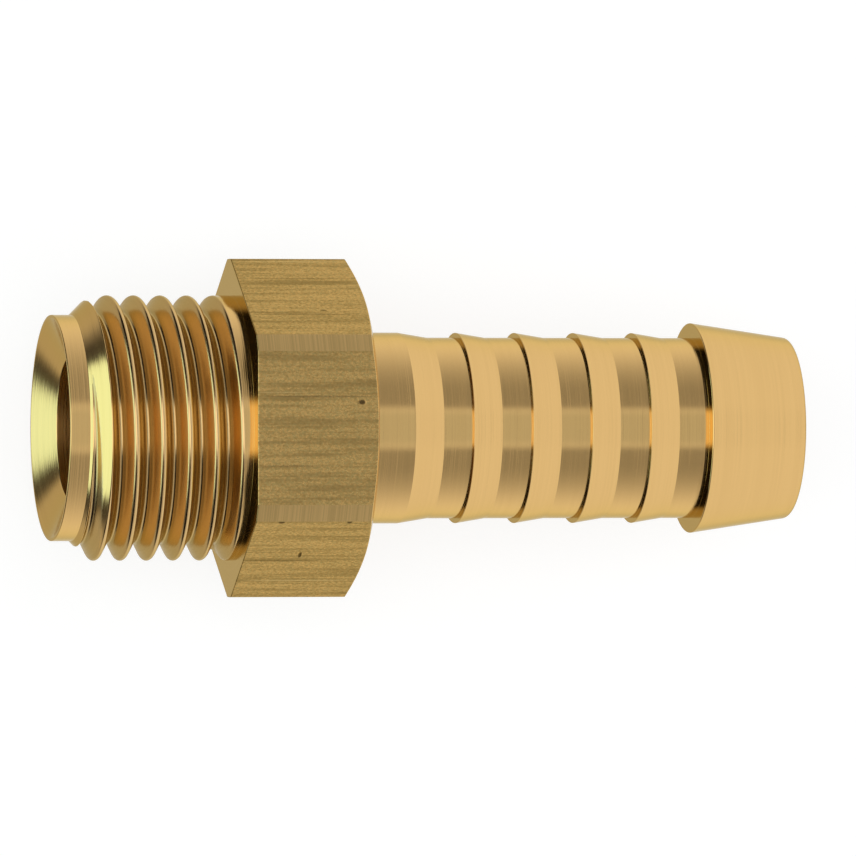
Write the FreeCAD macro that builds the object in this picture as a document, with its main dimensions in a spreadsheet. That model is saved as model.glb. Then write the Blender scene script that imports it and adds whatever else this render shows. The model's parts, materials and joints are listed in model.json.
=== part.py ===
import FreeCAD, Part
import os
import Sketcher

# Hose barb tail, turned from one hexagonal brass bar and threaded G 1/4.
# Frame: +X along the axis from the threaded stud towards the hose, +Z up, the origin on the axis at the
# hexagon's seat face. The tail lies on one flat of its hexagon.

# Driving dimensions in millimetres and degrees
SIZES = {
    # threaded stud, towards -X from the seat face
    "stud_length": 9.0,
    "thread_major_diameter": 13.157,
    "thread_depth": 0.856,
    "thread_pitch": 1.337,
    "thread_angle": 55.0,
    "thread_start": 0.81,
    "pilot_length": 1.0,
    "pilot_below_root": 0.12,
    "lead_angle": 45.0,
    "relief_length": 0.9,
    "relief_below_root": 0.07,
    # hexagon
    "hexagon_across_flats": 15.0,
    "hexagon_length": 6.15,
    "corner_turned_off": 0.26,
    "bevel_inside_flats": 0.25,
    "bevel_angle": 17.5,
    # hose spigot, towards +X from the hexagon
    "spigot_diameter": 9.0,
    "neck_step": 0.25,
    "neck_length": 2.35,
    "neck_taper_length": 1.5,
    "barb_lead": 1.45,
    "barb_height": 0.25,
    "barb_taper_length": 1.5,
    "barb_spacing": 3.0,
    "barb_count": 4,
    "end_barb_height": 0.75,
    "end_barb_length": 5.0,
    "tip_bevel": 0.2,
    # waterway
    "bore_diameter": 7.0,
    "mouth_rim": 0.15,
    "mouth_angle": 120.0,
    # how far a cutting tool passes clear of the metal
    "tool_clearance": 0.1,
}

START, END, ORIGIN = 1, 2, -1

# Distances away from the axis, each worked out from the sizes
MAJOR = "Sizes.thread_major_diameter / 2"
ROOT = f"({MAJOR} - Sizes.thread_depth)"
PILOT = f"({ROOT} - Sizes.pilot_below_root)"
RELIEF = f"({ROOT} - Sizes.relief_below_root)"
HEXAGON_CORNER = "Sizes.hexagon_across_flats / 2 / cos(30)"
TURNED_CORNER = f"({HEXAGON_CORNER} - Sizes.corner_turned_off)"
BEVEL_CIRCLE = "(Sizes.hexagon_across_flats / 2 - Sizes.bevel_inside_flats)"
SPIGOT = "Sizes.spigot_diameter / 2"
NECK = f"{SPIGOT} + Sizes.neck_step"
BARB = f"{SPIGOT} + Sizes.barb_height"
END_BARB_TOP = f"{SPIGOT} + Sizes.end_barb_height"
TIP_BEVEL_TOP = f"{SPIGOT} + Sizes.end_barb_height * Sizes.tip_bevel / Sizes.end_barb_length"
BORE = "Sizes.bore_diameter / 2"
MOUTH = f"({PILOT} - Sizes.mouth_rim)"

# Places along the axis, each worked out from the sizes
STUD_END = "-Sizes.stud_length"
PILOT_SHOULDER = f"{STUD_END} + Sizes.pilot_length"
LEAD_END = f"{PILOT_SHOULDER} + ({MAJOR} - {PILOT}) / tan(Sizes.lead_angle)"
MOUTH_FLOOR = f"{STUD_END} + ({MOUTH} - {BORE}) / tan(Sizes.mouth_angle / 2)"
RELIEF_START = "-Sizes.relief_length"
NECK_START = "Sizes.hexagon_length"
BEVEL_START = f"{NECK_START} - ({TURNED_CORNER} - {BEVEL_CIRCLE}) * tan(Sizes.bevel_angle)"
NECK_END = f"{NECK_START} + Sizes.neck_length"
SPIGOT_START = f"{NECK_END} + Sizes.neck_taper_length"
FIRST_BARB = f"{SPIGOT_START} + Sizes.barb_lead"
END_BARB = f"{FIRST_BARB} + Sizes.barb_count * Sizes.barb_spacing"
TIP = f"{END_BARB} + Sizes.end_barb_length"


def make_sheet(doc):
    """The driving dimensions, one aliased cell each."""
    sheet = doc.addObject("Spreadsheet::Sheet", "Sizes")
    for row, (alias, value) in enumerate(SIZES.items(), start=1):
        sheet.set(f"A{row}", str(value))
        sheet.setAlias(f"A{row}", alias)
    doc.recompute()
    return sheet


def origin_feature(body, role):
    """A base plane or axis of the body, by its role."""
    return next(item for item in body.Origin.OriginFeatures if item.Role == role)


def new_sketch(body, name, plane):
    """An empty sketch on one of the body's base planes."""
    sketch = body.newObject("Sketcher::SketchObject", name)
    sketch.AttachmentSupport = (origin_feature(body, plane), "")
    sketch.MapMode = "FlatFace"
    return sketch


def bind(sketch, kind, where, formula):
    """Adds a constraint whose value follows an expression."""
    index = sketch.addConstraint(Sketcher.Constraint(kind, *where, sketch.evalExpression(formula)))
    sketch.setExpression(f"Constraints[{index}]", formula)


def draw_outline(body, name, corners):
    """A closed outline on the XY plane, its corners given as distances along and away from the axis."""
    sketch = new_sketch(body, name, "XY_Plane")
    points = [FreeCAD.Vector(*map(sketch.evalExpression, corner)) for corner in corners]
    for point, following in zip(points, points[1:] + points[:1]):
        sketch.addGeometry(Part.LineSegment(point, following))
    for index, (along, away) in enumerate(corners):
        before = (index - 1) % len(corners)
        sketch.addConstraint(Sketcher.Constraint("Coincident", before, END, index, START))
        bind(sketch, "DistanceX", (ORIGIN, START, index, START), along)
        bind(sketch, "DistanceY", (ORIGIN, START, index, START), away)
    return sketch


def turn(body, kind, name, corners):
    """Turns an outline about the axis, as added metal (Revolution) or as a cut (Groove)."""
    feature = body.newObject(f"PartDesign::{kind}", name)
    feature.Profile = draw_outline(body, f"{name}_outline", corners)
    feature.ReferenceAxis = (feature.Profile[0], ["H_Axis"])
    feature.Angle = 360
    return feature


def make_stud(body):
    """The stud before threading: pilot, tapered lead, full diameter, and the relief next to the seat."""
    return turn(body, "Revolution", "Stud", [
        (STUD_END, "0"),
        (STUD_END, PILOT),
        (PILOT_SHOULDER, PILOT),
        (LEAD_END, MAJOR),
        (RELIEF_START, MAJOR),
        (RELIEF_START, RELIEF),
        ("0", RELIEF),
        ("0", "0"),
    ])


def cut_thread(body):
    """The right-hand thread: a V groove that enters before the stud's end and leaves past the relief.

    The groove is half a pitch wide half way down its depth, and its flanks widen it from there.
    """
    entry = f"{STUD_END} + Sizes.thread_start - Sizes.thread_pitch"
    flank = "tan(Sizes.thread_angle / 2)"
    root = f"(Sizes.thread_pitch / 4 - Sizes.thread_depth / 2 * {flank})"
    mouth = f"(Sizes.thread_pitch / 4 + (Sizes.thread_depth / 2 + Sizes.tool_clearance) * {flank})"
    clear = f"{MAJOR} + Sizes.tool_clearance"
    thread = body.newObject("PartDesign::SubtractiveHelix", "Thread")
    thread.Profile = draw_outline(body, "Thread_outline", [
        (f"{entry} - {root}", ROOT),
        (f"{entry} + {root}", ROOT),
        (f"{entry} + {mouth}", clear),
        (f"{entry} - {mouth}", clear),
    ])
    thread.ReferenceAxis = (thread.Profile[0], ["H_Axis"])
    thread.Mode = "pitch-height-angle"
    thread.setExpression("Pitch", "Sizes.thread_pitch")
    thread.setExpression("Height", f"-({entry}) + Sizes.thread_pitch / 2")
    return thread


def make_hexagon(body):
    """The hexagonal bar stock, one flat up and one flat down."""
    sketch = new_sketch(body, "Hexagon_outline", "YZ_Plane")
    corner_radius = sketch.evalExpression(HEXAGON_CORNER)
    turns = [FreeCAD.Rotation(FreeCAD.Vector(0, 0, 1), 60 * step) for step in range(6)]
    points = [spin.multVec(FreeCAD.Vector(corner_radius, 0, 0)) for spin in turns]
    for point, following in zip(points, points[1:] + points[:1]):
        sketch.addGeometry(Part.LineSegment(point, following))
    circle = sketch.addGeometry(Part.Circle(FreeCAD.Vector(), FreeCAD.Vector(0, 0, 1), corner_radius), True)
    sketch.addConstraint(Sketcher.Constraint("Coincident", circle, 3, ORIGIN, START))
    for side in range(6):
        sketch.addConstraint(Sketcher.Constraint("Coincident", side, END, (side + 1) % 6, START))
        sketch.addConstraint(Sketcher.Constraint("PointOnObject", side, START, circle))
    for side in range(1, 6):
        sketch.addConstraint(Sketcher.Constraint("Equal", 0, side))
    sketch.addConstraint(Sketcher.Constraint("Horizontal", 1))
    bind(sketch, "DistanceY", (ORIGIN, START, 1, START), "Sizes.hexagon_across_flats / 2")
    hexagon = body.newObject("PartDesign::Pad", "Hexagon")
    hexagon.Profile = sketch
    hexagon.setExpression("Length", "Sizes.hexagon_length")
    return hexagon


def turn_hexagon(body):
    """The hexagon's corners turned round, and its hose side bevelled down to a circle inside the flats."""
    outside = "Sizes.hexagon_across_flats"
    return turn(body, "Groove", "Hexagon_turning", [
        ("0", TURNED_CORNER),
        (BEVEL_START, TURNED_CORNER),
        (NECK_START, BEVEL_CIRCLE),
        (NECK_START, outside),
        ("0", outside),
    ])


def make_spigot(body):
    """Neck, plain spigot, and the end barb with its square shoulder, long taper and bevelled tip.

    The taper aims at the spigot's own radius at the tip, and the bevel breaks the corner there.
    """
    return turn(body, "Revolution", "Spigot", [
        (NECK_START, "0"),
        (NECK_START, NECK),
        (NECK_END, NECK),
        (SPIGOT_START, SPIGOT),
        (END_BARB, SPIGOT),
        (END_BARB, END_BARB_TOP),
        (f"{TIP} - Sizes.tip_bevel", TIP_BEVEL_TOP),
        (TIP, f"{SPIGOT} - Sizes.tip_bevel"),
        (TIP, "0"),
    ])


def make_barbs(body):
    """The row of small barbs: one turned, then repeated along the spigot."""
    taper_end = f"{FIRST_BARB} + Sizes.barb_taper_length"
    barb = turn(body, "Revolution", "Barb", [
        (FIRST_BARB, "0"),
        (FIRST_BARB, BARB),
        (taper_end, SPIGOT),
        (taper_end, "0"),
    ])
    row = body.newObject("PartDesign::LinearPattern", "Barb_row")
    row.Originals = [barb]
    row.Direction = (origin_feature(body, "X_Axis"), [""])
    row.setExpression("Length", "Sizes.barb_spacing * (Sizes.barb_count - 1)")
    row.setExpression("Occurrences", "Sizes.barb_count")
    body.Tip = row
    return row


def cut_waterway(body):
    """The bore right through, opened to a coned mouth at the stud's end."""
    return turn(body, "Groove", "Waterway", [
        (STUD_END, "0"),
        (STUD_END, MOUTH),
        (MOUTH_FLOOR, BORE),
        (TIP, BORE),
        (TIP, "0"),
    ])


def check(doc, body, cuts):
    """Stops on a failed object, a shape that is null or not valid, or a cut that removes nothing."""
    failed = [item.Name for item in doc.Objects if {"Invalid", "Error"} & set(item.State)]
    if failed:
        raise RuntimeError(f"failed objects: {failed}")
    if body.Shape.isNull() or not body.Shape.isValid() or len(body.Shape.Solids) != 1:
        raise RuntimeError(f"{body.Label} is not one valid solid")
    for cut in cuts:
        if cut.Shape.Volume >= cut.BaseFeature.Shape.Volume:
            raise RuntimeError(f"{cut.Name} removes nothing")


def main():
    doc = FreeCAD.newDocument("hose_tail")
    make_sheet(doc)
    body = doc.addObject("PartDesign::Body", "Hose_tail")
    body.Label = "hose_tail"
    body.Placement = FreeCAD.Placement()
    make_stud(body)
    thread = cut_thread(body)
    make_hexagon(body)
    turning = turn_hexagon(body)
    make_spigot(body)
    make_barbs(body)
    waterway = cut_waterway(body)
    doc.recompute()
    check(doc, body, [thread, turning, waterway])
    os.makedirs("parts", exist_ok=True)
    body.Shape.exportStep(f"parts/{body.Label}.step")
    print(f"{body.Label}: {body.Shape.Volume:.1f} mm3, {len(body.Shape.Faces)} faces")


main()
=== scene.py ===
"""Brass hose tail, dressed for a studio picture.

The tail is one turned piece, so its whole skin is one closed surface on a grid of two parameters. One runs
along the outline, from the mouth over the stud, the hexagon and the spigot to the tip and back through the
bore. The other runs round the axis.
"""

import json
import logging
import math
from abc import ABC, abstractmethod
from dataclasses import dataclass
from enum import Enum

import bpy
import numpy as np
from mathutils import Matrix, Vector


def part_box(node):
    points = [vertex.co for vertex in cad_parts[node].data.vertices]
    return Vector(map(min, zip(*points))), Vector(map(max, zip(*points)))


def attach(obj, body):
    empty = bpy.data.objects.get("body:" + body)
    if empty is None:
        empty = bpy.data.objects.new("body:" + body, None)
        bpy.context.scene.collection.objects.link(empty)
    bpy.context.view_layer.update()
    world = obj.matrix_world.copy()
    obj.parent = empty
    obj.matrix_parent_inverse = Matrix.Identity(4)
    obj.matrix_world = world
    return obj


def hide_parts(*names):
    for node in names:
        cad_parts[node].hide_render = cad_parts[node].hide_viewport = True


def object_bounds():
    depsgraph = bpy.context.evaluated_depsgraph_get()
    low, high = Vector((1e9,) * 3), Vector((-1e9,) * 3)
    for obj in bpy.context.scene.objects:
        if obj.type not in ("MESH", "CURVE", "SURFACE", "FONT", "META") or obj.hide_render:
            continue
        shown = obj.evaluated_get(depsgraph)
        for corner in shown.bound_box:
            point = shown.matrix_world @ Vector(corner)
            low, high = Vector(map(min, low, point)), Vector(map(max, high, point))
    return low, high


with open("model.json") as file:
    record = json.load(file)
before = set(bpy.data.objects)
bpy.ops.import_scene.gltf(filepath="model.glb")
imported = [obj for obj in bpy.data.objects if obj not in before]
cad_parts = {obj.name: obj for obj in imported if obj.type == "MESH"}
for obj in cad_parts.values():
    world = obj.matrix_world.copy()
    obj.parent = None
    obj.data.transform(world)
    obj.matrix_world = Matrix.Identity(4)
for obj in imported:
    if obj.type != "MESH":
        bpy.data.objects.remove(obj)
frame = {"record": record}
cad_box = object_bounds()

LOG = logging.getLogger("hose_tail")
NODE = "hose_tail"
MM = 0.001
NOISE_ROUGHNESS = 0.6
# Sockets of a Mix node of colours
MIX_SHARE, MIX_FIRST, MIX_SECOND, MIX_RESULT = 0, 6, 7, 2
Grid = np.ndarray
Colour = tuple[float, float, float]
Wire = bpy.types.NodeSocket | float | tuple
Sockets = bpy.types.bpy_prop_collection
# Where a smooth step starts and ends, and its results there
Step = tuple[float, float, float, float]


class Finish(Enum):
    """The finishes on the skin. Each value is that finish's slot on the mesh."""

    TURNED = 0
    DRAWN = 1
    CORNER = 2
    THREADED = 3
    DRILLED = 4


@dataclass(frozen=True)
class Arc:
    """The small arc that breaks a corner: its radius in millimetres, and how many facets it has."""

    radius: float = 0.035
    facets: int = 2


@dataclass(frozen=True)
class Corner:
    """A corner of the outline, in millimetres, and the stretch that follows it.

    Attributes:
        along: Place along the axis.
        away: Distance from the axis, one number or one for each column.
        finish: Finish of the stretch from here to the next corner.
        arc: Arc that breaks the corner.
        spacing: Distance between the rows laid on that stretch, or 0 for a plain stretch.
    """

    along: float | Grid
    away: float | Grid
    finish: Finish = Finish.TURNED
    arc: Arc = Arc()
    spacing: float = 0.0


@dataclass(frozen=True)
class Skin:
    """The part's surface: rows along the outline, columns round the axis.

    Attributes:
        along: Place of each point along the axis, mm.
        away: Distance of each point from the axis, mm.
        finish: Finish number of the faces that follow each row, for each column.
    """

    along: Grid
    away: Grid
    finish: Grid


def mount(name: str) -> dict:
    """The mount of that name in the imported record, with its dimensions in millimetres under "dims"."""
    return next(entry for entry in frame["record"]["mounts"] if entry["name"] == name)


def soft_minimum(first: Grid, second: Grid, blend: float) -> Grid:
    """The smaller of two heights, rounded over where they cross.

    With h = (1 + (second - first) / blend) / 2 held between 0 and 1, the result is the mix of second and
    first by h, less blend times h times (1 - h).

    Args:
        first: One height.
        second: The other height.
        blend: How near the two come before the crossing is rounded.

    Returns:
        The blended height.
    """
    share = np.clip(0.5 + 0.5 * (second - first) / blend, 0.0, 1.0)
    return second * (1.0 - share) + first * share - blend * share * (1.0 - share)


def lay_outline(corners: list[Corner], columns: int, margin: float = 0.01, most: float = 0.25) -> Skin:
    """Turns the closed outline into the rows of a skin.

    Each corner is broken by an arc. With u the way in, w square to it on the inside of the turn, and R the
    arc's radius, the arc starts R tan(turn / 2) before the corner and its points are
    start + R sin(a) u + R (1 - cos(a)) w, for a from 0 to the turn. Between two arcs the rows lie on the
    straight line, one close to each arc and the rest at even spacing.

    Args:
        corners: The outline's corners in order, the last joined to the first.
        columns: Number of columns round the axis.
        margin: Distance of the first and last row of a stretch from its arcs, mm.
        most: Largest share of a stretch that the margin may take.

    Returns:
        The rows of the skin.
    """
    place = np.stack([
        np.stack([np.broadcast_to(corner.along, columns), np.broadcast_to(corner.away, columns)])
        for corner in corners
    ])
    onward = np.roll(place, -1, axis=0) - place
    onward /= np.linalg.norm(onward, axis=1, keepdims=True)
    way_in = np.roll(onward, 1, axis=0)
    cosine = (way_in * onward).sum(axis=1, keepdims=True)
    inside = onward - cosine * way_in
    inside /= np.linalg.norm(inside, axis=1, keepdims=True)
    turn = np.arccos(np.clip(cosine, -1.0, 1.0))
    radius = np.array([corner.arc.radius for corner in corners])[:, None, None]
    tangent = radius * np.tan(turn / 2)
    arc_start = place - tangent * way_in
    arc_end = place + tangent * onward
    rows, finishes = [], []
    for index, corner in enumerate(corners):
        angle = np.linspace(0.0, 1.0, corner.arc.facets + 1)[:, None, None] * turn[index]
        bend = arc_start[index] + radius[index] * (
            np.sin(angle) * way_in[index] + (1.0 - np.cos(angle)) * inside[index])
        run = arc_start[(index + 1) % len(corners)] - arc_end[index]
        length = np.linalg.norm(run, axis=0).min()
        count = round(length / corner.spacing) if corner.spacing else 1
        edge = min(margin / length, most)
        share = np.linspace(edge, 1.0 - edge, max(count, 1) + 1)[:, None, None]
        stretch = arc_end[index] + share * run
        rows += [bend, stretch]
        finishes += [corner.finish.value] * (len(bend) + len(stretch))
    grid = np.concatenate(rows)
    finish = np.repeat(np.array(finishes)[:, None], columns, axis=1)
    return Skin(grid[:, 0], grid[:, 1], finish)


@dataclass(frozen=True)
class ThreadedStud:
    """The stud: coned mouth, pilot, tapered lead, and a pipe thread that stops beside the seat. Sizes in mm.

    Attributes:
        start: Place of the mouth's rim along the axis.
        major_radius: Radius over the thread's crests.
        bore_radius: Radius of the bore.
        thread_depth: Height of the thread from root to crest.
        pitch: Distance from one crest to the next.
        thread_angle: Angle between a groove's two flanks, degrees.
        thread_start: Place of the groove's middle at +Y, from the mouth's rim.
        crest_share: Radius of the rounded crests and roots, as a share of the pitch.
        pilot_length: Length of the plain pilot before the lead.
        pilot_below_root: How far the pilot lies below the roots.
        thread_run_out: Distance from the seat at which the groove's middle stops.
        mouth_rim: Width of the flat rim round the mouth.
        mouth_angle: Full angle of the mouth's cone, degrees.
        row_spacing: Distance between rows on the lead and the thread.
        run_in: How near the lead and the thread come before their crossing is rounded.
        run_out_fade: Travel of the groove's middle over which the groove fades out.
        lead_arc: Arc at each end of the lead.
        seat_arc: Arc where the full diameter meets the seat.
        tolerance: Difference under which two radii count as one.
    """

    start: float
    major_radius: float
    bore_radius: float
    thread_depth: float = 0.856
    pitch: float = 1.337
    thread_angle: float = 55.0
    thread_start: float = 0.81
    crest_share: float = 0.1373
    pilot_length: float = 1.0
    pilot_below_root: float = 0.12
    thread_run_out: float = 0.75
    mouth_rim: float = 0.15
    mouth_angle: float = 128.0
    row_spacing: float = 0.045
    run_in: float = 0.03
    run_out_fade: float = 0.04
    lead_arc: Arc = Arc(0.02)
    seat_arc: Arc = Arc(0.006, 4)
    tolerance: float = 1e-6

    @property
    def root_radius(self) -> float:
        """Radius at the bottom of the thread."""
        return self.major_radius - self.thread_depth

    def corners(self) -> list[Corner]:
        """The stud's outline, from the floor of the mouth to the seat.

        Returns:
            Its corners in order.
        """
        pilot = self.root_radius - self.pilot_below_root
        rim = pilot - self.mouth_rim
        mouth_depth = (rim - self.bore_radius) / math.tan(math.radians(self.mouth_angle / 2))
        shoulder = self.start + self.pilot_length
        lead_end = shoulder + self.major_radius - pilot
        return [
            Corner(self.start + mouth_depth, self.bore_radius),
            Corner(self.start, rim),
            Corner(self.start, pilot),
            Corner(shoulder, pilot, Finish.THREADED, self.lead_arc, self.row_spacing),
            Corner(lead_end, self.major_radius, Finish.THREADED, self.lead_arc, self.row_spacing),
            Corner(0.0, self.major_radius, arc=self.seat_arc),
        ]

    def groove_radius(self, along: Grid, angles: Grid) -> Grid:
        """Radius of the thread that the stud is cut to.

        With p the pitch and s the distance from the middle of the groove, folded to 0 .. p / 2, a crest or
        a root is an arc of radius R, the crest share times p, up to s = R cos(flank) from its middle.
        Between them the flank is a straight line. The groove's middle moves one pitch along the axis for
        each turn, and the groove fades out where its middle comes to the run-out.

        Args:
            along: Places along the axis, rows by columns.
            angles: Angle of each column.

        Returns:
            The radius at each point.
        """
        flank = math.radians(self.thread_angle / 2)
        arc = self.crest_share * self.pitch
        reach = arc * math.cos(flank)
        middle = self.start + self.thread_start + self.pitch * angles / (2 * math.pi)
        from_middle = (along - middle + self.pitch / 2) % self.pitch - self.pitch / 2
        offset = np.abs(from_middle)
        to_crest = self.pitch / 2 - offset
        root = self.root_radius + arc - np.sqrt(np.maximum(arc**2 - offset**2, 0.0))
        crest = self.major_radius - arc + np.sqrt(np.maximum(arc**2 - to_crest**2, 0.0))
        half_way = self.root_radius + self.thread_depth / 2
        straight = half_way + (offset - self.pitch / 4) / math.tan(flank)
        groove = np.where(offset < reach, root, np.where(to_crest < reach, crest, straight))
        depth_left = np.clip((from_middle - along - self.thread_run_out) / self.run_out_fade, 0.0, 1.0)
        return self.major_radius + (groove - self.major_radius) * depth_left

    def cut_thread(self, skin: Skin, angles: Grid) -> Skin:
        """Cuts the thread into the blank stud.

        Where the blank rises to the crests, the radius is the soft minimum of the blank and the thread. On
        the full diameter it is the thread's own. What the groove leaves of the blank keeps the turned finish.

        Args:
            skin: The blank skin.
            angles: Angle of each column.

        Returns:
            The threaded skin.
        """
        thread = self.groove_radius(skin.along, angles)
        crest = self.major_radius - self.tolerance
        cut = np.where(skin.away < crest, soft_minimum(skin.away, thread, self.run_in), thread)
        threaded = skin.finish == Finish.THREADED.value
        uncut = threaded & (thread > np.minimum(skin.away, crest))
        finish = np.where(uncut, Finish.TURNED.value, skin.finish)
        return Skin(skin.along, np.where(threaded, cut, skin.away), finish)


@dataclass(frozen=True)
class Hexagon:
    """The hexagon: drawn flats, corners turned round, and a bevel on its hose side. Sizes in mm.

    Attributes:
        half_across_flats: Distance from the axis to a flat.
        corner_radius: Radius that the corners are turned to.
        length: Length along the axis.
        bevel_inside_flats: How far inside the flats the bevel ends on the hose side.
        bevel_angle: Angle of the bevel from square to the axis, degrees.
        columns_on_flat: Columns of the grid on a flat.
        columns_on_corner: Columns of the grid on a turned corner.
        row_spacing: Distance between rows on the sides.
    """

    half_across_flats: float
    corner_radius: float
    length: float = 6.15
    bevel_inside_flats: float = 0.25
    bevel_angle: float = 17.5
    columns_on_flat: int = 35
    columns_on_corner: int = 5
    row_spacing: float = 1.0

    @property
    def columns_on_side(self) -> int:
        """Columns on one flat and the corner that follows it."""
        return self.columns_on_flat + self.columns_on_corner

    def column_angles(self) -> Grid:
        """The angles of the grid's columns, from +Y towards +Z.

        The turned corner meets the flat at acos(half across flats / corner radius) from the flat's middle,
        so columns stand exactly on those edges.

        Returns:
            One angle for each column, in radians.
        """
        half = math.acos(self.half_across_flats / self.corner_radius)
        sixth = math.pi / 3
        flat = np.linspace(-half, half, self.columns_on_flat, endpoint=False)
        corner = np.linspace(half, sixth - half, self.columns_on_corner, endpoint=False)
        middles = sixth / 2 + sixth * np.arange(6)
        return (middles[:, None] + np.concatenate([flat, corner])).ravel()

    def outer_radius(self, angles: Grid) -> Grid:
        """Distance from the axis to the hexagon's sides: the flat's, cut short by the turned corner."""
        from_middle = (angles % (math.pi / 3)) - math.pi / 6
        return np.minimum(self.half_across_flats / np.cos(from_middle), self.corner_radius)

    def corners(self, angles: Grid) -> list[Corner]:
        """The hexagon's outline, from the seat's rim to the foot of the neck's face.

        The bevel is a cone, so it starts further back where the side stands further out.

        Args:
            angles: Angle of each column.

        Returns:
            Its corners in order.
        """
        side = self.outer_radius(angles)
        circle = self.half_across_flats - self.bevel_inside_flats
        bevel = self.length - (side - circle) * math.tan(math.radians(self.bevel_angle))
        return [
            Corner(0.0, side, Finish.DRAWN, spacing=self.row_spacing),
            Corner(bevel, side),
            Corner(self.length, circle),
        ]


@dataclass(frozen=True)
class Spigot:
    """The hose end: neck, small barbs, the end barb with its long taper, and the rounded tip. Sizes in mm.

    Attributes:
        start: Place of the neck's foot along the axis.
        tip: Place of the tip along the axis.
        radius: Radius of the plain lands between the barbs.
        bore_radius: Radius of the bore.
        neck_step: How far the neck stands out over the lands.
        neck_length: Length of the neck before its taper.
        neck_taper: Length of the taper from the neck to the first land.
        barb_lead: Length of the first land.
        barb_height: How far a small barb stands out over the lands.
        barb_taper: Length of a small barb's taper.
        barb_spacing: Distance from one small barb to the next.
        barb_count: Number of small barbs.
        end_barb_height: How far the end barb stands out over the lands.
        root_arc: Arc at a barb's foot.
        crest_arc: Arc at a small barb's edge.
        end_crest_arc: Arc at the end barb's edge.
        tip_arc: Arc at the tip's outer edge.
        row_spacing: Distance between rows in the bore.
    """

    start: float
    tip: float
    radius: float
    bore_radius: float
    neck_step: float = 0.25
    neck_length: float = 2.35
    neck_taper: float = 1.5
    barb_lead: float = 1.45
    barb_height: float = 0.25
    barb_taper: float = 1.5
    barb_spacing: float = 3.0
    barb_count: int = 4
    end_barb_height: float = 0.75
    root_arc: Arc = Arc(0.008, 5)
    crest_arc: Arc = Arc(0.03, 4)
    end_crest_arc: Arc = Arc(0.05, 5)
    tip_arc: Arc = Arc(0.3, 8)
    row_spacing: float = 1.0

    def corners(self) -> list[Corner]:
        """The spigot's outline, from the foot of the neck to the inner edge of the tip.

        Returns:
            Its corners in order.
        """
        neck = self.radius + self.neck_step
        neck_end = self.start + self.neck_length
        first_land = neck_end + self.neck_taper
        first_barb = first_land + self.barb_lead
        end_barb = first_barb + self.barb_count * self.barb_spacing
        outline = [
            Corner(self.start, neck),
            Corner(neck_end, neck),
            Corner(first_land, self.radius),
        ]
        for barb in (first_barb + self.barb_spacing * step for step in range(self.barb_count)):
            outline += [
                Corner(barb, self.radius, arc=self.root_arc),
                Corner(barb, self.radius + self.barb_height, arc=self.crest_arc),
                Corner(barb + self.barb_taper, self.radius),
            ]
        return outline + [
            Corner(end_barb, self.radius, arc=self.root_arc),
            Corner(end_barb, self.radius + self.end_barb_height, arc=self.end_crest_arc),
            Corner(self.tip, self.radius, arc=self.tip_arc),
            Corner(self.tip, self.bore_radius, Finish.DRILLED, spacing=self.row_spacing),
        ]


@dataclass
class Wiring:
    """A shader node tree that is being wired."""

    tree: bpy.types.NodeTree

    def put(self, kind: str, inputs: dict[str | int, Wire] | None = None,
            **settings: object) -> bpy.types.Node:
        """Adds a node.

        Args:
            kind: The node's type, without the ShaderNode in front.
            inputs: What goes into its sockets: a socket to link, or a value to set.
            **settings: Properties of the node.

        Returns:
            The node.
        """
        node = self.tree.nodes.new(f"ShaderNode{kind}")
        for name, value in settings.items():
            setattr(node, name, value)
        for name, value in (inputs or {}).items():
            if isinstance(value, bpy.types.NodeSocket):
                self.tree.links.new(value, node.inputs[name])
            else:
                node.inputs[name].default_value = value
        return node

    def calculate(self, operation: str, *values: Wire) -> bpy.types.NodeSocket:
        """The result of one Math node, from the operation's name and its inputs in order."""
        return self.put("Math", dict(enumerate(values)), operation=operation).outputs[0]

    def ease(self, value: Wire, start: Wire, end: Wire, low: float = 0.0,
             high: float = 1.0) -> bpy.types.NodeSocket:
        """A smooth step, from low at the start to high at the end, whichever of them is larger."""
        inputs = {"Value": value, "From Min": start, "From Max": end, "To Min": low, "To Max": high}
        return self.put("MapRange", inputs, interpolation_type="SMOOTHSTEP").outputs["Result"]

    def place(self, group: str, inputs: dict[str, Wire] | None = None, **settings: object) -> Sockets:
        """The outputs of a node group that is placed here, from its name and its inputs."""
        return self.put("Group", inputs, node_tree=bpy.data.node_groups[group], **settings).outputs

    def distance_from_axis(self) -> tuple[bpy.types.NodeSocket, Sockets]:
        """The distance of the shaded point from the part's axis.

        Returns:
            The distance, and the outputs of the point's place along X, Y and Z.
        """
        parts = self.put("SeparateXYZ", {0: self.put("TexCoord").outputs["Object"]}).outputs
        squares = [self.calculate("MULTIPLY", parts[name], parts[name]) for name in ("Y", "Z")]
        return self.calculate("SQRT", self.calculate("ADD", *squares)), parts

    def blend(self, share: Wire, first: Wire, second: Wire) -> bpy.types.NodeSocket:
        """Mixes two colours.

        Args:
            share: How much of the second colour.
            first: The first colour.
            second: The second colour.

        Returns:
            The mixed colour.
        """
        inputs = {MIX_SHARE: share}
        for socket, colour in ((MIX_FIRST, first), (MIX_SECOND, second)):
            inputs[socket] = (*colour, 1.0) if isinstance(colour, tuple) else colour
        return self.put("Mix", inputs, data_type="RGBA").outputs[MIX_RESULT]


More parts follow.
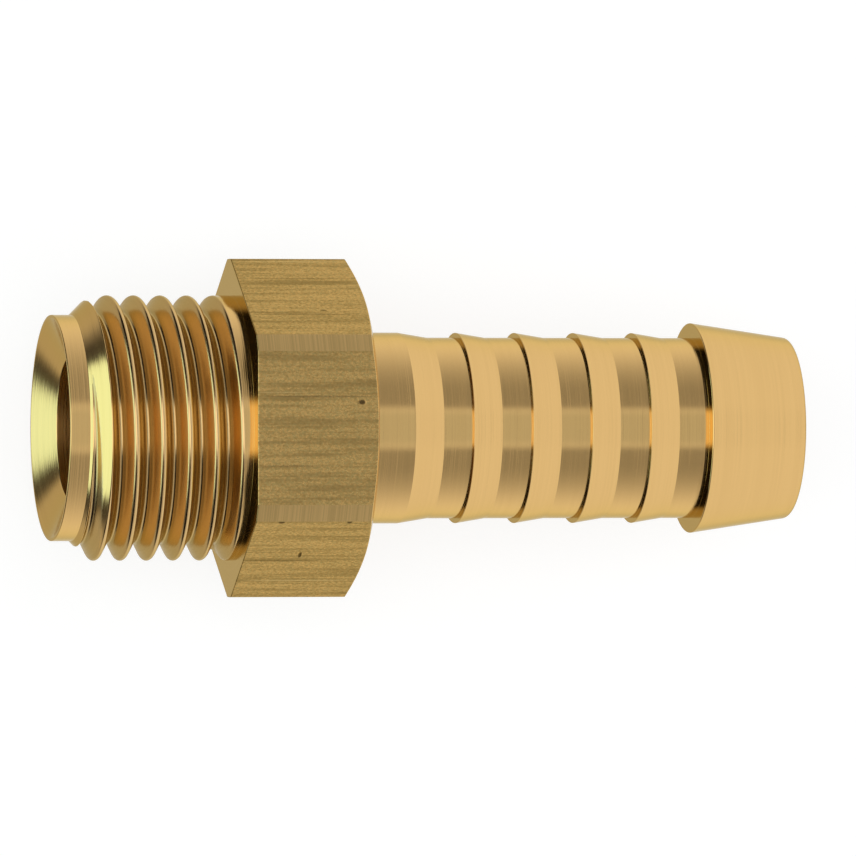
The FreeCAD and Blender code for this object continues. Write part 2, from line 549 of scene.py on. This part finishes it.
@dataclass(frozen=True)
class GroupRecipe:
    """A node group with named inputs and outputs, built once and placed in each material.

    Attributes:
        name: The group's name.
        inputs: Each input's name with its default value, a number or a vector.
        outputs: The outputs' names.
    """

    name: str
    inputs: dict[str, float | tuple]
    outputs: tuple[str, ...]

    def start(self) -> tuple[Wiring, bpy.types.Node, bpy.types.Node]:
        """Makes the empty group.

        Returns:
            Its wiring, its input node and its output node.
        """
        tree = bpy.data.node_groups.new(self.name, "ShaderNodeTree")
        for name, value in self.inputs.items():
            kind = "NodeSocketVector" if isinstance(value, tuple) else "NodeSocketFloat"
            tree.interface.new_socket(name, in_out="INPUT", socket_type=kind).default_value = value
        for name in self.outputs:
            tree.interface.new_socket(name, in_out="OUTPUT", socket_type="NodeSocketFloat")
        return Wiring(tree), tree.nodes.new("NodeGroupInput"), tree.nodes.new("NodeGroupOutput")


@dataclass(frozen=True)
class Grain:
    """One noise over the drawn bar.

    Attributes:
        rate_name: Name of the input for its rate.
        rate: Its rate across the bar, per metre.
        stretch: What the place along X, Y and Z is multiplied by first.
        detail: Number of finer layers.
    """

    rate_name: str
    rate: float
    stretch: tuple[float, float, float]
    detail: float


GRAINS = {
    "Streaks": Grain("Streaks per metre", 3000.0, (0.04, 1.0, 1.0), 3.0),
    "Speckles": Grain("Speckles per metre", 9500.0, (0.75, 1.0, 1.0), 2.0),
    "Hue": Grain("Specks per metre", 13000.0, (-0.9, -1.0, -1.0), 1.0),
}


def turning_lines_group() -> bpy.types.NodeTree:
    """Fine lines round the axis, as a turning tool leaves them.

    The lines are noise over the place along the axis and the distance from it, which hardly changes round
    the axis: the noise's other two coordinates are a half plus the cosine and the sine of the angle, times
    the drift.

    Returns:
        The group, with the output Lines between 0 and 1.
    """
    middle = 0.5
    recipe = GroupRecipe("Turning lines", {"Lines per metre": 9000.0, "Drift": 0.35}, ("Lines",))
    wiring, given, result = recipe.start()
    away, parts = wiring.distance_from_axis()
    drift = wiring.calculate("DIVIDE", given.outputs["Drift"], away)
    rate = given.outputs["Lines per metre"]
    lattice = wiring.put("CombineXYZ", {
        "X": wiring.calculate("MULTIPLY", parts["X"], rate),
        "Y": wiring.calculate("MULTIPLY", away, rate),
        "Z": wiring.calculate("MULTIPLY_ADD", parts["Y"], drift, middle),
    }).outputs[0]
    noise = wiring.put("TexNoise", {
        "Vector": lattice,
        "W": wiring.calculate("MULTIPLY_ADD", parts["Z"], drift, middle),
        "Scale": 1.0,
        "Detail": 2.0,
        "Roughness": NOISE_ROUGHNESS,
    }, noise_dimensions="4D")
    wiring.tree.links.new(noise.outputs[0], result.inputs["Lines"])
    return wiring.tree


def drawn_bar_group() -> bpy.types.NodeTree:
    """The skin of drawn bar: long straight streaks along the bar, speckles, and specks of another hue.

    Each is noise over the place, stretched along the bar: the streaks twenty-five times, the others a
    little. The specks' place is turned over, so that they don't follow the speckles.

    Returns:
        The group, with the outputs Streaks, Speckles and Hue, each between 0 and 1.
    """
    rates = {grain.rate_name: grain.rate for grain in GRAINS.values()}
    wiring, given, result = GroupRecipe("Drawn bar", rates, tuple(GRAINS)).start()
    place = wiring.put("TexCoord").outputs["Object"]
    for name, grain in GRAINS.items():
        drawn_out = wiring.put("VectorMath", {0: place, 1: grain.stretch}, operation="MULTIPLY").outputs[0]
        noise = wiring.put("TexNoise", {
            "Vector": drawn_out,
            "Scale": given.outputs[grain.rate_name],
            "Detail": grain.detail,
            "Roughness": NOISE_ROUGHNESS,
        })
        wiring.tree.links.new(noise.outputs[0], result.inputs[name])
    return wiring.tree


def groove_depth_group() -> bpy.types.NodeTree:
    """How deep a point lies in the thread: a smooth step of its distance from the axis. It masks the painted
    shade in the grooves.

    Returns:
        The group, with the output Depth, 1 at the root and 0 at the crest.
    """
    wiring, given, result = GroupRecipe("Groove depth", {"Root": 0.0, "Crest": 0.0}, ("Depth",)).start()
    away, _ = wiring.distance_from_axis()
    depth = wiring.ease(away, given.outputs["Root"], given.outputs["Crest"], 1.0, 0.0)
    wiring.tree.links.new(depth, result.inputs["Depth"])
    return wiring.tree


def mark_group() -> bpy.types.NodeTree:
    """One small mark at a given place.

    Its mask is a smooth step down of the distance from the centre, as a share of the reach.

    Returns:
        The group, with the output Mask, 1 in the mark's core and 0 outside its reach.
    """
    core, rim = 0.45, 1.0
    recipe = GroupRecipe("Mark", {"Centre": (0.0, 0.0, 0.0), "Reach": (MM, MM, MM)}, ("Mask",))
    wiring, given, result = recipe.start()
    place = wiring.put("TexCoord").outputs["Object"]
    offset = wiring.put("VectorMath", {0: place, 1: given.outputs["Centre"]}, operation="SUBTRACT").outputs[0]
    shares = wiring.put("VectorMath", {0: offset, 1: given.outputs["Reach"]}, operation="DIVIDE").outputs[0]
    distance = wiring.put("VectorMath", {0: shares}, operation="LENGTH").outputs["Value"]
    wiring.tree.links.new(wiring.ease(distance, core, rim, 1.0, 0.0), result.inputs["Mask"])
    return wiring.tree


def new_material(name: str) -> tuple[bpy.types.Material, Wiring, bpy.types.Node]:
    """Starts a material.

    Args:
        name: The material's name.

    Returns:
        The material, its wiring and its Principled shader.
    """
    material = bpy.data.materials.new(name)
    material.use_nodes = True
    return material, Wiring(material.node_tree), material.node_tree.nodes["Principled BSDF"]


@dataclass(frozen=True)
class Texture:
    """What a finish changes over the surface.

    Attributes:
        colour: The metal's colour.
        tone: Value between 0 and 1 that the roughness follows.
        height: Height of the relief, as a share of the finish's own.
    """

    colour: bpy.types.NodeSocket
    tone: bpy.types.NodeSocket
    height: bpy.types.NodeSocket


@dataclass(frozen=True)
class Brass(ABC):
    """A finish of the brass.

    Attributes:
        name: The material's name.
        roughness: Roughness, least and most.
        relief: Height of the relief, metres.
        edge_tint: What the metal keeps of its mirror where it is seen along its surface.
        polish: Tone up to which the roughness is greatest, and from which it is least.
    """

    name: str
    roughness: tuple[float, float] = (0.12, 0.16)
    relief: float = 4.5e-6
    edge_tint: Colour = (0.86, 0.80, 0.54)
    polish: tuple[float, float] = (0.3, 0.7)

    @abstractmethod
    def texture(self, wiring: Wiring) -> Texture:
        """Wires what the finish changes over the surface.

        Args:
            wiring: The material's wiring.

        Returns:
            The colour, the tone and the height.
        """

    def material(self) -> bpy.types.Material:
        """Makes the material.

        Returns:
            The material.
        """
        material, wiring, shader = new_material(self.name)
        shader.inputs["Metallic"].default_value = 1.0
        shader.inputs["Specular Tint"].default_value = (*self.edge_tint, 1.0)
        texture = self.texture(wiring)
        bump = wiring.put("Bump", {"Strength": 1.0, "Distance": self.relief, "Height": texture.height})
        least, most = self.roughness
        for name, value in (
            ("Base Color", texture.colour),
            ("Roughness", wiring.ease(texture.tone, *self.polish, most, least)),
            ("Normal", bump.outputs[0]),
        ):
            wiring.tree.links.new(value, shader.inputs[name])
        return material


@dataclass(frozen=True)
class TurnedBrass(Brass):
    """Brass as the turning tool leaves it: bright, with fine lines round the axis.

    Attributes:
        light: Colour on the lines' tops.
        dark: Colour between the lines.
        tones: Where the colour starts to turn from dark to light, and where it is light.
        lines: Lines per metre.
    """

    light: Colour = (0.74, 0.478, 0.187)
    dark: Colour = (0.725, 0.465, 0.18)
    tones: tuple[float, float] = (0.35, 0.65)
    lines: float = 12000.0

    def texture(self, wiring: Wiring) -> Texture:
        """Wires the turning lines, which give the colour, the tone and the height.

        Args:
            wiring: The material's wiring.

        Returns:
            The colour, the tone and the height.
        """
        lines = wiring.place("Turning lines", {"Lines per metre": self.lines})["Lines"]
        colour = wiring.blend(wiring.ease(lines, *self.tones), self.dark, self.light)
        return Texture(colour, lines, lines)


@dataclass(frozen=True)
class ThreadedBrass(TurnedBrass):
    """Brass with a cut thread, painted darker and browner down in the grooves: painted shade.

    Attributes:
        deep: Colour at the roots, painted shade.
        root: Distance of the roots from the axis, metres.
        crest: Distance from the axis where the turned colour is reached, metres.
    """

    # Painted shade at the roots of the thread
    deep: Colour = (0.53, 0.36, 0.16)
    root: float = 5.72 * MM
    crest: float = 6.0 * MM

    def texture(self, wiring: Wiring) -> Texture:
        """Wires the turned metal, with its colour blended to the deep one by the depth in the groove, which
        paints shade into the grooves.

        Args:
            wiring: The material's wiring.

        Returns:
            The colour, the tone and the height.
        """
        turned = super().texture(wiring)
        depth = wiring.place("Groove depth", {"Root": self.root, "Crest": self.crest})["Depth"]
        return Texture(wiring.blend(depth, turned.colour, self.deep), turned.tone, turned.height)


@dataclass(frozen=True)
class Mark:
    """A small mark on the hexagon's skin.

    Attributes:
        centre: Its middle, mm.
        reach: How far it reaches along each axis, mm.
        strength: How much of the mark's colour it takes, from 0 to 1.
    """

    centre: tuple[float, float, float]
    reach: tuple[float, float, float]
    strength: float = 0.9


@dataclass(frozen=True)
class DrawnBrass(Brass):
    """The skin of drawn hexagon bar: dull and speckled, with streaks, drawing lines and a few dents, and
    painted highlights along some lines.

    Attributes:
        light: Colour of the light speckles.
        dark: Colour of the dark speckles.
        cool: Colour of the specks of another hue.
        streak: Colour of the dark streaks.
        dark_mark_colour: Near-black colour laid in the dark marks.
        painted_highlight: Colour of the bright marks, a painted highlight.
        speckle_share: Share of the speckles in the tone. The rest are streaks.
        tones: Where the colour starts to turn from dark to light, and where it is light.
        hue_step: How the cool colour comes in with the hue.
        streak_step: How the streaks' colour comes in as the streaks fall.
        dent_depth: Depth of the dark marks, as a multiple of the relief.
        dark_marks: Dents and dark drawing lines.
        bright_marks: Painted highlights along drawing lines.
    """

    roughness: tuple[float, float] = (0.24, 0.34)
    relief: float = 5.0e-6
    edge_tint: Colour = (0.85, 0.75, 0.50)
    light: Colour = (0.61, 0.375, 0.13)
    dark: Colour = (0.31, 0.195, 0.062)
    cool: Colour = (0.38, 0.295, 0.115)
    streak: Colour = (0.25, 0.16, 0.055)
    dark_mark_colour: Colour = (0.07, 0.04, 0.015)
    painted_highlight: Colour = (0.72, 0.52, 0.22)
    speckle_share: float = 0.6
    tones: tuple[float, float] = (0.34, 0.66)
    hue_step: Step = (0.40, 0.68, 0.0, 0.6)
    streak_step: Step = (0.52, 0.30, 0.0, 0.5)
    dent_depth: float = 3.0
    dark_marks: tuple[Mark, ...] = (
        Mark((5.22, 1.27, 7.5), (0.24, 0.15, 0.3)),
        Mark((1.27, -4.62, 7.0), (0.20, 0.13, 0.3)),
        Mark((4.68, -4.62, 7.0), (0.16, 0.12, 0.3)),
        Mark((2.75, -6.26, 4.16), (0.10, 0.32, 0.4)),
        Mark((3.78, 5.80, 4.95), (0.22, 0.05, 0.3), 0.6),
        Mark((3.0, 7.40, 2.18), (3.6, 0.045, 0.3), 0.25),
        Mark((2.6, 5.594, 5.31), (3.4, 0.045, 0.3), 0.35),
        Mark((3.1, 1.547, 7.5), (3.8, 0.05, 0.3), 0.4),
        Mark((1.6, -1.87, 7.5), (2.2, 0.045, 0.3), 0.3),
        Mark((1.8, -6.546, 3.66), (2.9, 0.045, 0.3), 0.4),
    )
    # Painted highlights along drawing lines
    bright_marks: tuple[Mark, ...] = (
        Mark((3.0, -7.549, 1.92), (3.6, 0.04, 0.3), 0.5),
        Mark((1.2, 1.75, 7.5), (1.8, 0.04, 0.3), 0.3),
        Mark((3.0, 8.25, 0.71), (3.6, 0.05, 0.3), 0.3),
    )

    @staticmethod
    def mask(wiring: Wiring, marks: tuple[Mark, ...]) -> bpy.types.NodeSocket:
        """The strongest of some marks at the shaded point.

        Args:
            wiring: The material's wiring.
            marks: The marks.

        Returns:
            A mask between 0 and 1.
        """
        strongest: Wire = 0.0
        for mark in marks:
            inputs = {
                name: tuple(value * MM for value in sizes)
                for name, sizes in (("Centre", mark.centre), ("Reach", mark.reach))
            }
            share = wiring.calculate("MULTIPLY", wiring.place("Mark", inputs)["Mask"], mark.strength)
            strongest = wiring.calculate("MAXIMUM", share, strongest)
        return strongest

    def texture(self, wiring: Wiring) -> Texture:
        """Wires the speckles and streaks, and lays the marks over them.

        Args:
            wiring: The material's wiring.

        Returns:
            The colour, the tone and the height.
        """
        bar = wiring.place("Drawn bar")
        streaks = wiring.calculate("MULTIPLY", bar["Streaks"], 1.0 - self.speckle_share)
        tone = wiring.calculate("MULTIPLY_ADD", bar["Speckles"], self.speckle_share, streaks)
        dark_marks = self.mask(wiring, self.dark_marks)
        colour = wiring.blend(wiring.ease(tone, *self.tones), self.dark, self.light)
        for share, over in (
            (wiring.ease(bar["Hue"], *self.hue_step), self.cool),
            (wiring.ease(bar["Streaks"], *self.streak_step), self.streak),
            # The bright marks paint highlights along drawing lines
            (self.mask(wiring, self.bright_marks), self.painted_highlight),
            (dark_marks, self.dark_mark_colour),
        ):
            colour = wiring.blend(share, colour, over)
        dents = wiring.calculate("MULTIPLY", dark_marks, self.dent_depth)
        return Texture(colour, tone, wiring.calculate("SUBTRACT", tone, dents))


FINISHES = {
    Finish.TURNED: TurnedBrass("turned_brass"),
    Finish.DRAWN: DrawnBrass("drawn_brass"),
    Finish.CORNER: TurnedBrass(
        "turned_corner_brass", roughness=(0.30, 0.40), relief=1.0e-6, lines=16000.0,
        light=(0.66, 0.44, 0.175), dark=(0.52, 0.35, 0.135),
    ),
    # The thread's turned colours are darker than the plain turned brass's: painted shade over the whole
    # thread
    Finish.THREADED: ThreadedBrass(
        "threaded_brass", roughness=(0.20, 0.25), relief=5.0e-7,
        light=(0.67, 0.445, 0.20), dark=(0.65, 0.435, 0.195),
    ),
    Finish.DRILLED: TurnedBrass("drilled_brass", roughness=(0.24, 0.34)),
}


def new_piece(name: str, points: Grid, quads: Grid, materials: list[bpy.types.Material]) -> bpy.types.Object:
    """Makes a smooth piece of four-sided faces and puts it in the scene.

    Args:
        name: Name of the piece and its mesh.
        points: The points, metres, on a grid.
        quads: The four points of each face, on a grid.
        materials: The piece's materials, slot by slot.

    Returns:
        The piece.
    """
    mesh = bpy.data.meshes.new(name)
    mesh.from_pydata(points.reshape(-1, 3), [], quads.reshape(-1, 4))
    mesh.polygons.foreach_set("use_smooth", np.ones(len(mesh.polygons), dtype=bool))
    for material in materials:
        mesh.materials.append(material)
    piece = bpy.data.objects.new(name, mesh)
    bpy.context.scene.collection.objects.link(piece)
    return piece


@dataclass(frozen=True)
class HoseTail:
    """The whole tail: stud, hexagon and spigot in one closed skin."""

    stud: ThreadedStud
    hexagon: Hexagon
    spigot: Spigot
    name: str = "hose_tail_skin"

    @classmethod
    def from_frame(cls) -> "HoseTail":
        """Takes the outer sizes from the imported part.

        Returns:
            The tail.
        """
        low, high = (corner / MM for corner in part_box(NODE))
        bore = mount("bore")["dims"]["r_mm"]
        thread = mount("thread")["dims"]["r_mm"]
        land = mount("hose_spigot")["dims"]["r_mm"]
        hexagon = Hexagon(half_across_flats=high.z, corner_radius=high.y)
        return cls(
            ThreadedStud(start=low.x, major_radius=thread, bore_radius=bore),
            hexagon,
            Spigot(start=hexagon.length, tip=high.x, radius=land, bore_radius=bore),
        )

    def skin(self, angles: Grid) -> Skin:
        """The tail's surface.

        Args:
            angles: Angle of each column.

        Returns:
            The surface, with the thread cut and the corners' finish set apart from the flats'.
        """
        corners = self.stud.corners() + self.hexagon.corners(angles) + self.spigot.corners()
        blank = self.stud.cut_thread(lay_outline(corners, len(angles)), angles)
        on_corner = np.arange(len(angles)) % self.hexagon.columns_on_side >= self.hexagon.columns_on_flat
        turned = (blank.finish == Finish.DRAWN.value) & on_corner
        return Skin(blank.along, blank.away, np.where(turned, Finish.CORNER.value, blank.finish))

    def sharp_edges(self, mesh: bpy.types.Mesh, skin: Skin) -> Grid:
        """The edges where a flat meets a turned corner.

        Args:
            mesh: The tail's mesh.
            skin: The surface that it was made from.

        Returns:
            One truth value for each edge.
        """
        ends = np.empty(len(mesh.edges) * 2, dtype=np.int32)
        mesh.edges.foreach_get("vertices", ends)
        row, column = np.divmod(ends.reshape(-1, 2), skin.along.shape[1])
        side = np.isin(skin.finish[:, 0], (Finish.DRAWN.value, Finish.CORNER.value))
        meeting = np.isin(column % self.hexagon.columns_on_side, (0, self.hexagon.columns_on_flat))
        return (column[:, 0] == column[:, 1]) & meeting[:, 0] & side[row].any(axis=1)

    def build(self) -> bpy.types.Object:
        """Makes the mesh and dresses it.

        A point's place is (along, away cos(angle), away sin(angle)). Both ways round the grid close on
        themselves, because the bore joins the tip to the mouth.

        Returns:
            The piece.
        """
        angles = self.hexagon.column_angles()
        skin = self.skin(angles)
        points = np.stack([skin.along, skin.away * np.cos(angles), skin.away * np.sin(angles)], axis=-1) * MM
        here = np.arange(skin.along.size).reshape(skin.along.shape)
        above = np.roll(here, -1, axis=0)
        quads = np.stack([here, np.roll(here, -1, axis=1), np.roll(above, -1, axis=1), above], axis=-1)
        piece = new_piece(self.name, points, quads, [FINISHES[finish].material() for finish in Finish])
        mesh = piece.data
        mesh.polygons.foreach_set("material_index", skin.finish.ravel().astype(np.int32))
        creases = mesh.attributes.new("sharp_edge", "BOOLEAN", "EDGE")
        creases.data.foreach_set("value", self.sharp_edges(mesh, skin))
        mesh.validate()
        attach(piece, "root")
        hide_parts(NODE)
        return piece


@dataclass(frozen=True)
class Card:
    """A light or dark card of the studio, as a soft-edged patch of the sky.

    Attributes:
        label: What the card is, in the world's node tree.
        across: From and to, degrees out of the upright plane across the axis, positive towards the hose end.
        roll: From and to, degrees round the axis, from 0 straight up to 180 straight down on either side.
        soft: Half the width of the soft left, right, upper and lower edges, degrees.
        light: Brightness, as a colour.
    """

    label: str
    across: tuple[float, float]
    roll: tuple[float, float]
    soft: tuple[float, float, float, float]
    light: Colour


def grey(level: float) -> Colour:
    """A grey of the given brightness."""
    return (level, level, level)


@dataclass(frozen=True)
class Studio:
    """Plain soft light from all round, with cards that give the metal its bands.

    Attributes:
        open_light: Brightness where no card is.
        cards: The cards, each laid over the ones before it.
    """

    open_light: Colour = grey(1.0)
    cards: tuple[Card, ...] = (
        Card("table, hose side", (4.0, 100.0), (146.0, 200.0), (6.0, 1.0, 12.0, 1.0), grey(0.78)),
        Card("table, threaded side", (-100.0, 4.0), (128.0, 200.0), (1.0, 8.0, 8.0, 1.0), (0.60, 0.58, 0.53)),
        Card("black beside the lens", (-44.0, 0.0), (20.0, 128.0), (9.0, 5.0, 3.0, 10.0), grey(0.006)),
        Card("lamp over the thread", (-44.0, 2.0), (-5.0, 23.0), (12.0, 8.0, 1.0, 6.0), grey(1.65)),
        Card("grey over the lands", (7.0, 19.5), (23.5, 87.0), (5.0, 2.0, 7.0, 43.0), grey(0.345)),
        Card("pale over the lands", (3.0, 17.0), (-5.0, 22.0), (5.0, 2.0, 1.0, 8.0), (0.67, 0.70, 0.69)),
        Card("dark beside the pale", (17.5, 24.0), (-5.0, 22.0), (2.0, 2.0, 1.0, 6.0), grey(0.1)),
        Card("dark round the end lamp", (-57.0, -41.5), (50.0, 200.0), (3.0, 5.0, 10.0, 1.0), grey(0.08)),
        Card("end lamp, upper", (-100.0, -56.0), (-5.0, 125.0), (1.0, 3.0, 1.0, 8.0), (1.25, 1.80, 1.75)),
        Card("end lamp, lower", (-100.0, -54.5), (125.0, 200.0), (1.0, 3.0, 8.0, 1.0), (1.20, 1.75, 1.85)),
    )

    @staticmethod
    def card_group() -> bpy.types.NodeTree:
        """The mask of one card: smooth steps at its four edges, multiplied.

        Returns:
            The group, with the output Mask.
        """
        edges = (
            ("Across", "Left", "Left softness", (0.0, 1.0)),
            ("Across", "Right", "Right softness", (1.0, 0.0)),
            ("Roll", "Upper", "Upper softness", (0.0, 1.0)),
            ("Roll", "Lower", "Lower softness", (1.0, 0.0)),
        )
        names = ["Across", "Roll"] + [name for edge in edges for name in edge[1:3]]
        wiring, given, result = GroupRecipe("Card", dict.fromkeys(names, 0.0), ("Mask",)).start()
        mask: Wire = 1.0
        for angle, edge, soft, inside in edges:
            start = wiring.calculate("SUBTRACT", given.outputs[edge], given.outputs[soft])
            end = wiring.calculate("ADD", given.outputs[edge], given.outputs[soft])
            step = wiring.ease(given.outputs[angle], start, end, *inside)
            mask = wiring.calculate("MULTIPLY", step, mask)
        wiring.tree.links.new(mask, result.inputs["Mask"])
        return wiring.tree

    def build(self) -> bpy.types.World:
        """Makes the world's light.

        With x, y and z the direction, across is the arc sine of x, and roll is the angle of (|y|, z) from z.

        Returns:
            The world.
        """
        world = bpy.data.worlds.new("studio")
        world.use_nodes = True
        wiring = Wiring(world.node_tree)
        direction = wiring.put("SeparateXYZ", {0: wiring.put("TexCoord").outputs["Generated"]}).outputs
        across = wiring.calculate("DEGREES", wiring.calculate("ARCSINE", direction["X"]))
        aside = wiring.calculate("ABSOLUTE", direction["Y"])
        roll = wiring.calculate("DEGREES", wiring.calculate("ARCTAN2", aside, direction["Z"]))
        self.card_group()
        light: Wire = self.open_light
        for card in self.cards:
            inputs = {"Across": across, "Roll": roll}
            sides = zip(("Left", "Right", "Upper", "Lower"), card.across + card.roll, card.soft)
            for side, place, soft in sides:
                inputs |= {side: place, f"{side} softness": soft}
            mask = wiring.place("Card", inputs, label=card.label)["Mask"]
            light = wiring.blend(mask, light, card.light)
        wiring.tree.links.new(light, world.node_tree.nodes["Background"].inputs["Color"])
        bpy.context.scene.world = world
        return world


@dataclass(frozen=True)
class Table:
    """A plain pale table whose far rim rises like a photographer's paper sweep. Sizes in metres.

    Attributes:
        level: Height of the table's top.
        flat_radius: Radius of its flat middle.
        rim_radius: Half the width of the whole table.
        rim_height: How far its rim rises.
        cells: Cells of its grid along one side.
        paper: Brightness of the paper.
        lift: Light that is added where the table is seen.
    """

    level: float
    flat_radius: float = 0.9
    rim_radius: float = 1.25
    rim_height: float = 0.12
    cells: int = 96
    paper: float = 0.30
    lift: float = 0.80

    def build(self) -> bpy.types.Object:
        """Makes the table.

        Its height over a square grid is the level plus the rim's height times a smooth step of the
        distance from the middle. What mirrors sees the studio's own lower half in its place.

        Returns:
            The table, which is stage and not part of the object.
        """
        reach = np.linspace(-self.rim_radius, self.rim_radius, self.cells + 1)
        x, y = np.meshgrid(reach, reach, indexing="ij")
        share = np.clip((np.hypot(x, y) - self.flat_radius) / (self.rim_radius - self.flat_radius), 0.0, 1.0)
        z = self.level + self.rim_height * share**2 * (3.0 - 2.0 * share)
        here = np.arange(z.size).reshape(z.shape)
        quads = np.stack([here[:-1, :-1], here[1:, :-1], here[1:, 1:], here[:-1, 1:]], axis=-1)
        table = new_piece("table", np.stack([x, y, z], axis=-1), quads, [self.material()])
        table.visible_glossy = False
        return table

    def material(self) -> bpy.types.Material:
        """White paper that the camera, and what mirrors or lets through, sees lifted to white.

        Returns:
            The material.
        """
        material, wiring, shader = new_material("white_paper")
        path = wiring.put("LightPath").outputs
        seen = wiring.calculate("MAXIMUM", path["Is Camera Ray"], path["Is Glossy Ray"])
        seen = wiring.calculate("MAXIMUM", seen, path["Is Transmission Ray"])
        shader.inputs["Base Color"].default_value = (*grey(self.paper), 1.0)
        shader.inputs["Roughness"].default_value = 0.9
        shader.inputs["Specular IOR Level"].default_value = 0.0
        shader.inputs["Emission Color"].default_value = (*grey(1.0), 1.0)
        lifted = wiring.calculate("MULTIPLY", seen, self.lift)
        wiring.tree.links.new(lifted, shader.inputs["Emission Strength"])
        return material


@dataclass(frozen=True)
class Viewpoint:
    """The photograph's view: a long lens over the part, a little towards its threaded end.

    Attributes:
        target: Point of the axis in the middle of the picture, metres.
        distance: Distance from the target to the camera, metres.
        yaw: Angle of the view from straight down, towards the threaded end, degrees.
        width: Width of the picture at the target, metres.
        clip: Nearest and furthest distance that the camera sees, metres.
    """

    target: tuple[float, float, float] = (0.01011, 0.0, 0.0)
    distance: float = 0.63
    yaw: float = 12.0
    width: float = 0.04263
    clip: tuple[float, float] = (0.01, 10.0)

    def build(self) -> bpy.types.Object:
        """Makes the scene's camera.

        Returns:
            The camera.
        """
        data = bpy.data.cameras.new("camera")
        data.lens = data.sensor_width * self.distance / self.width
        data.clip_start, data.clip_end = self.clip
        camera = bpy.data.objects.new("camera", data)
        bpy.context.scene.collection.objects.link(camera)
        yaw = math.radians(self.yaw)
        right = Vector((math.cos(yaw), 0.0, math.sin(yaw)))
        back = Vector((-math.sin(yaw), 0.0, math.cos(yaw)))
        turned = Matrix((right, Vector((0.0, 1.0, 0.0)), back)).transposed().to_4x4()
        camera.matrix_world = Matrix.Translation(Vector(self.target) + back * self.distance) @ turned
        bpy.context.scene.camera = camera
        return camera


def main() -> None:
    """Builds the tail and its studio, in order, and reports each piece."""
    logging.basicConfig(level=logging.INFO, format="%(name)s: %(message)s")
    for group in (turning_lines_group(), drawn_bar_group(), groove_depth_group(), mark_group()):
        LOG.info("%s: %d nodes in the group", group.name, len(group.nodes))
    for sub_assembly in (HoseTail.from_frame(), Table(level=cad_box[0].z)):
        piece = sub_assembly.build()
        LOG.info("%s: %d four-sided faces", piece.name, len(piece.data.polygons))
    world = Studio().build()
    LOG.info("%s: %d nodes of light", world.name, len(world.node_tree.nodes))
    camera = Viewpoint().build()
    LOG.info("%s: lens of %.1f mm", camera.name, camera.data.lens)
    bpy.context.scene.view_settings.view_transform = "Standard"


if __name__ == "__main__":
    main()
